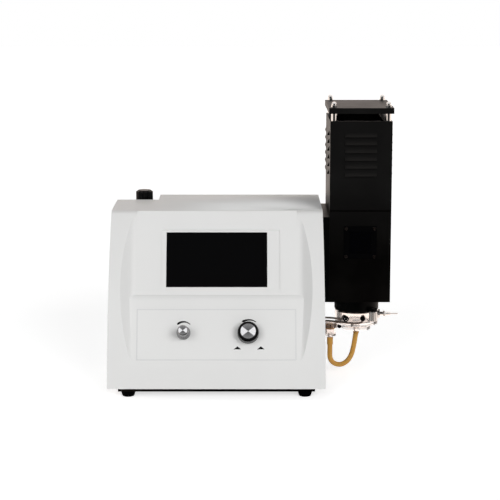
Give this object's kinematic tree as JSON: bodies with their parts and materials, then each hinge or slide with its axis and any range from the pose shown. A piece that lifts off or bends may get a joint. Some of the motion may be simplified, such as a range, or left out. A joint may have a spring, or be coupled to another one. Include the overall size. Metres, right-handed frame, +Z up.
{
  "type": "flame photometer",
  "caption": "Bench flame photometer: sloping white case with touch display and two valve knobs, and a burner with clear mixing chamber under a louvred black chimney.",
  "frame": {"origin": "centre of the footprint on the bench, under the feet", "axes": "+X towards the chimney, +Y to the rear, +Z up; the display faces -Y"},
  "size_m": [0.4614, 0.312, 0.4477],
  "materials": {
    "cover_white": "fine satin moulded",
    "zinc_steel": "zinc plated",
    "black_sheet": "satin black powder coat",
    "pale_sheet": "satin",
    "black_rubber": "matt",
    "display_black": "glossy",
    "dark_plastic": "satin",
    "label_white": "satin film",
    "brass": "machined",
    "bright_nickel": "polished",
    "board_green": "solder mask",
    "black_anodised": "black anodised",
    "clear_glass": "clear",
    "cast_grey": "painted casting",
    "clear_plastic": "clear moulded",
    "blue_glass": "cobalt glass",
    "ceramic": "ceramic",
    "steel_line": "drawn tube",
    "amber_latex": "translucent latex",
    "spun_aluminium": "spun",
    "red_plastic": "glossy"
  },
  "bodies": {
    "root": {"case_cover": "cover_white", "chassis_plate": "zinc_steel", "base_pan": "black_sheet", "rear_panel": "pale_sheet", "feet": "black_rubber", "case_screws": "zinc_steel", "display_glass": "display_black", "display_module": "dark_plastic", "control_label": "label_white", "gas_valve": "brass", "fine_valve": "brass", "panel_nuts": "bright_nickel", "main_board": "board_green", "power_supply": "zinc_steel", "optics_block": "black_anodised", "lens": "clear_glass", "colour_filters": "clear_glass", "detectors": "bright_nickel", "power_inlet": "dark_plastic", "switch_housing": "dark_plastic", "serial_port": "zinc_steel", "gas_inlet": "brass", "regulator_body": "cast_grey", "regulator_bowl": "clear_plastic", "pressure_gauge": "dark_plastic", "regulator_bracket": "zinc_steel", "chimney_flange": "black_sheet", "lower_housing": "black_sheet", "window_plate": "black_sheet", "window_glass": "blue_glass", "window_screws": "bright_nickel", "burner_ring": "black_anodised", "burner_head": "zinc_steel", "glass_chimney": "clear_glass", "igniter": "ceramic", "mixing_chamber": "clear_plastic", "chamber_bowl": "clear_plastic", "drain_arm": "clear_plastic", "drain_cup": "clear_plastic", "supply_lines": "steel_line", "line_fittings": "brass", "nebulizer": "bright_nickel", "capillary": "bright_nickel", "drain_tube": "amber_latex"},
    "gas_knob": {"gas_knob": "dark_plastic", "gas_knob_cap": "spun_aluminium", "gas_spindle": "zinc_steel"},
    "fine_knob": {"fine_knob": "spun_aluminium", "fine_spindle": "zinc_steel"},
    "regulator_stem": {"regulator_stem": "zinc_steel"},
    "regulator_knob": {"regulator_knob": "dark_plastic"},
    "power_rocker": {"switch_rocker": "red_plastic"},
    "fuse_drawer": {"fuse_drawer": "dark_plastic"},
    "upper_chimney": {"upper_housing": "black_sheet", "shield_posts": "bright_nickel", "heat_shield": "black_sheet", "cap_nuts": "bright_nickel"},
    "nebulizer_nut": {"nebulizer_nut": "bright_nickel"},
    "clamp_nut": {"clamp_nut": "bright_nickel"},
    "thumb_screw": {"thumb_screw": "dark_plastic"}
  },
  "joints": [
    {"name": "gas_knob_turn", "type": "hinge", "parent": "root", "child": "gas_knob", "pos_m": [-0.01207, -0.12648, 0.09962], "axis": [0, -0.9265, 0.3764], "range_deg": [0, 270]},
    {"name": "fine_knob_turn", "type": "hinge", "parent": "root", "child": "fine_knob", "pos_m": [-0.11137, -0.12648, 0.09962], "axis": [0, -0.9265, 0.3764], "range_deg": [-150, 150]},
    {"name": "regulator_turn", "type": "hinge", "parent": "root", "child": "regulator_stem", "pos_m": [-0.18362, 0.10098, 0.2635], "axis": [0, 0, 1], "range_deg": [-360, 360]},
    {"name": "regulator_pull", "type": "slide", "parent": "regulator_stem", "child": "regulator_knob", "axis": [0, 0, 1], "range_m": [0, 0.003]},
    {"name": "power_rocker_tilt", "type": "hinge", "parent": "root", "child": "power_rocker", "pos_m": [0.01913, 0.12558, 0.062], "axis": [1, 0, 0], "range_deg": [-14, 0]},
    {"name": "fuse_drawer_slide", "type": "slide", "parent": "root", "child": "fuse_drawer", "axis": [0, 1, 0], "range_m": [0, 0.012]},
    {"name": "upper_chimney_lift", "type": "slide", "parent": "root", "child": "upper_chimney", "axis": [0, 0, 1], "range_m": [0, 0.06]},
    {"name": "nebulizer_nut_turn", "type": "hinge", "parent": "root", "child": "nebulizer_nut", "pos_m": [0.20813, 0.01698, 0.098], "axis": [1, 0, 0], "range_deg": [0, 720]},
    {"name": "clamp_nut_turn", "type": "hinge", "parent": "root", "child": "clamp_nut", "pos_m": [0.18783, -0.01802, 0.094], "axis": [0, 0, 1], "range_deg": [0, 720]},
    {"name": "thumb_screw_turn", "type": "hinge", "parent": "root", "child": "thumb_screw", "pos_m": [0.13523, 0.01698, 0.08], "axis": [0, -1, 0], "range_deg": [0, 720]}
  ]
}
